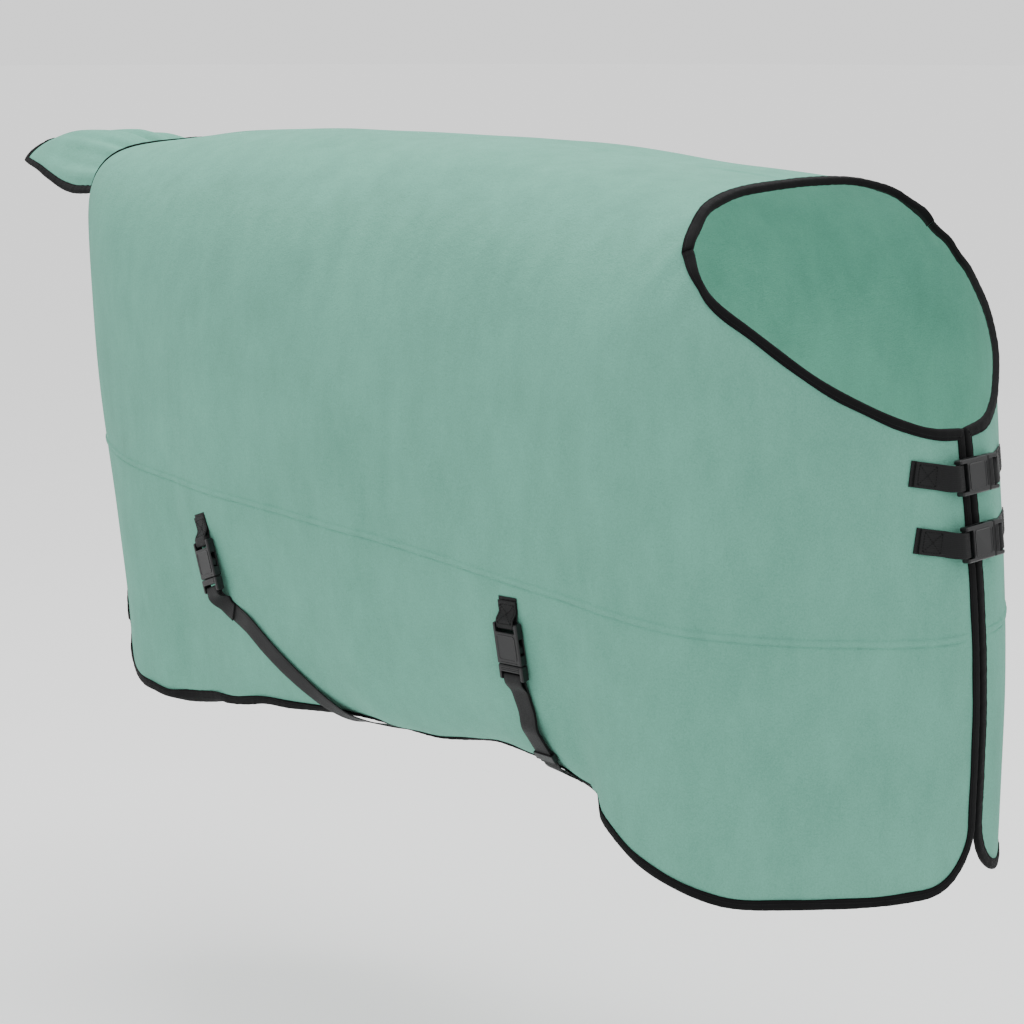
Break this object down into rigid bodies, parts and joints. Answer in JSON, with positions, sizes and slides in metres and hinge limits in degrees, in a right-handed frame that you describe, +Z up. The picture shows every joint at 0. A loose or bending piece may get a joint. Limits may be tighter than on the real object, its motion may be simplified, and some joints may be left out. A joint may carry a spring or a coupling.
{
  "type": "turnout rug",
  "caption": "Fleece horse rug in its worn shape, with bound edges, a tail flap, buckled chest straps and buckled surcingles under the belly.",
  "frame": {"origin": "on the lining over the spine, halfway along the back", "axes": "+X towards the horse's head, +Y to the horse's left, +Z up"},
  "size_m": [1.9503, 0.658, 0.8966],
  "materials": {
    "fleece": "soft matt sage-green fleece",
    "binding": "matt black woven tape",
    "webbing": "matt black ribbed webbing",
    "buckles": "satin black moulded plastic"
  },
  "bodies": {
    "rug_body": {"back_panel": "fleece", "lower_panel_right": "fleece", "lower_panel_left": "fleece", "neck_binding": "binding", "hem_binding_right": "binding", "hem_binding_left": "binding", "rear_binding": "binding", "surcingle_front_tab": "webbing", "surcingle_front_socket": "buckles", "surcingle_front_anchor": "webbing", "surcingle_rear_tab": "webbing", "surcingle_rear_socket": "buckles", "surcingle_rear_anchor": "webbing"},
    "tail_flap": {"tail_flap": "fleece", "tail_flap_binding": "binding"},
    "front_right": {"front_upper_right": "fleece", "front_lower_right": "fleece", "front_binding_right": "binding", "chest_upper_tab": "webbing", "chest_upper_socket": "buckles", "chest_lower_tab": "webbing", "chest_lower_socket": "buckles"},
    "front_left": {"front_upper_left": "fleece", "front_lower_left": "fleece", "front_binding_left": "binding", "chest_upper_webbing": "webbing", "chest_upper_plug": "buckles", "chest_lower_webbing": "webbing", "chest_lower_plug": "buckles"},
    "surcingle_front": {"surcingle_front_webbing": "webbing", "surcingle_front_plug": "buckles"},
    "surcingle_rear": {"surcingle_rear_webbing": "webbing", "surcingle_rear_plug": "buckles"},
    "keeper": {"surcingle_front_slider": "buckles"},
    "chest_lower_prong_lower_arm": {"chest_lower_prong_lower": "buckles"},
    "chest_lower_prong_upper_arm": {"chest_lower_prong_upper": "buckles"},
    "chest_upper_prong_lower_arm": {"chest_upper_prong_lower": "buckles"},
    "chest_upper_prong_upper_arm": {"chest_upper_prong_upper": "buckles"},
    "surcingle_front_prong_front_arm": {"surcingle_front_prong_front": "buckles"},
    "surcingle_front_prong_rear_arm": {"surcingle_front_prong_rear": "buckles"},
    "surcingle_rear_prong_front_arm": {"surcingle_rear_prong_front": "buckles"},
    "surcingle_rear_prong_rear_arm": {"surcingle_rear_prong_rear": "buckles"}
  },
  "joints": [
    {"name": "tail_flap_fall", "type": "hinge", "parent": "rug_body", "child": "tail_flap", "pos_m": [-0.814, 0, -0.105], "axis": [0, -1, 0], "range_deg": [0, 65]},
    {"name": "front_right_open", "type": "hinge", "parent": "rug_body", "child": "front_right", "pos_m": [0.542, -0.331, -0.092], "axis": [-0.2398, 0, -0.9708], "range_deg": [0, 100]},
    {"name": "front_left_open", "type": "hinge", "parent": "rug_body", "child": "front_left", "pos_m": [0.542, 0.331, -0.092], "axis": [0.2398, 0, 0.9708], "range_deg": [0, 100]},
    {"name": "surcingle_front_swing", "type": "hinge", "parent": "rug_body", "child": "surcingle_front", "pos_m": [0.28907, 0.32109, -0.55446], "axis": [0.9977, -0.0084, 0.0677], "range_deg": [0, 75]},
    {"name": "surcingle_rear_swing", "type": "hinge", "parent": "rug_body", "child": "surcingle_rear", "pos_m": [-0.10104, 0.32289, -0.56229], "axis": [0.9349, 0.0084, 0.3549], "range_deg": [0, 75]},
    {"name": "keeper_slide", "type": "slide", "parent": "surcingle_front", "child": "keeper", "axis": [0.0923, 0.5308, -0.8424], "range_m": [-0.024, 0]},
    {"name": "chest_lower_squeeze_lower", "type": "hinge", "parent": "front_left", "child": "chest_lower_prong_lower_arm", "pos_m": [0.80407, 0.0222, -0.45427], "axis": [-0.9901, 0, -0.14], "range_deg": [0, 9], "stiffness_Nm_per_rad": 0.4},
    {"name": "chest_lower_squeeze_upper", "type": "hinge", "parent": "front_left", "child": "chest_lower_prong_upper_arm", "pos_m": [0.80099, 0.0222, -0.43249], "axis": [0.9901, 0, 0.14], "range_deg": [0, 9], "stiffness_Nm_per_rad": 0.4},
    {"name": "chest_upper_squeeze_lower", "type": "hinge", "parent": "front_left", "child": "chest_upper_prong_lower_arm", "pos_m": [0.79207, 0.0222, -0.37401], "axis": [-0.9874, 0, -0.1582], "range_deg": [0, 9], "stiffness_Nm_per_rad": 0.4},
    {"name": "chest_upper_squeeze_upper", "type": "hinge", "parent": "front_left", "child": "chest_upper_prong_upper_arm", "pos_m": [0.78859, 0.0222, -0.35229], "axis": [0.9874, 0, 0.1582], "range_deg": [0, 9], "stiffness_Nm_per_rad": 0.4},
    {"name": "surcingle_front_squeeze_front", "type": "hinge", "parent": "surcingle_front", "child": "surcingle_front_prong_front_arm", "pos_m": [0.32987, -0.31811, -0.63208], "axis": [-0.0124, -0.9921, -0.1244], "range_deg": [0, 9], "stiffness_Nm_per_rad": 0.4},
    {"name": "surcingle_front_squeeze_rear", "type": "hinge", "parent": "surcingle_front", "child": "surcingle_front_prong_rear_arm", "pos_m": [0.30793, -0.31765, -0.63353], "axis": [0.0124, 0.9921, 0.1244], "range_deg": [0, 9], "stiffness_Nm_per_rad": 0.4},
    {"name": "surcingle_rear_squeeze_front", "type": "hinge", "parent": "surcingle_rear", "child": "surcingle_rear_prong_front_arm", "pos_m": [-0.29432, -0.3206, -0.62678], "axis": [-0.1324, -0.9908, -0.0269], "range_deg": [0, 9], "stiffness_Nm_per_rad": 0.4},
    {"name": "surcingle_rear_squeeze_rear", "type": "hinge", "parent": "surcingle_rear", "child": "surcingle_rear_prong_rear_arm", "pos_m": [-0.31468, -0.31767, -0.63458], "axis": [0.1324, 0.9908, 0.0269], "range_deg": [0, 9], "stiffness_Nm_per_rad": 0.4}
  ],
  "couplings": [
    {"joint": "front_left_open", "follows": "front_right_open", "ratio": 1},
    {"joint": "chest_lower_squeeze_lower", "follows": "chest_lower_squeeze_upper", "ratio": 1},
    {"joint": "chest_upper_squeeze_lower", "follows": "chest_upper_squeeze_upper", "ratio": 1},
    {"joint": "surcingle_front_squeeze_rear", "follows": "surcingle_front_squeeze_front", "ratio": 1},
    {"joint": "surcingle_rear_squeeze_rear", "follows": "surcingle_rear_squeeze_front", "ratio": 1}
  ]
}
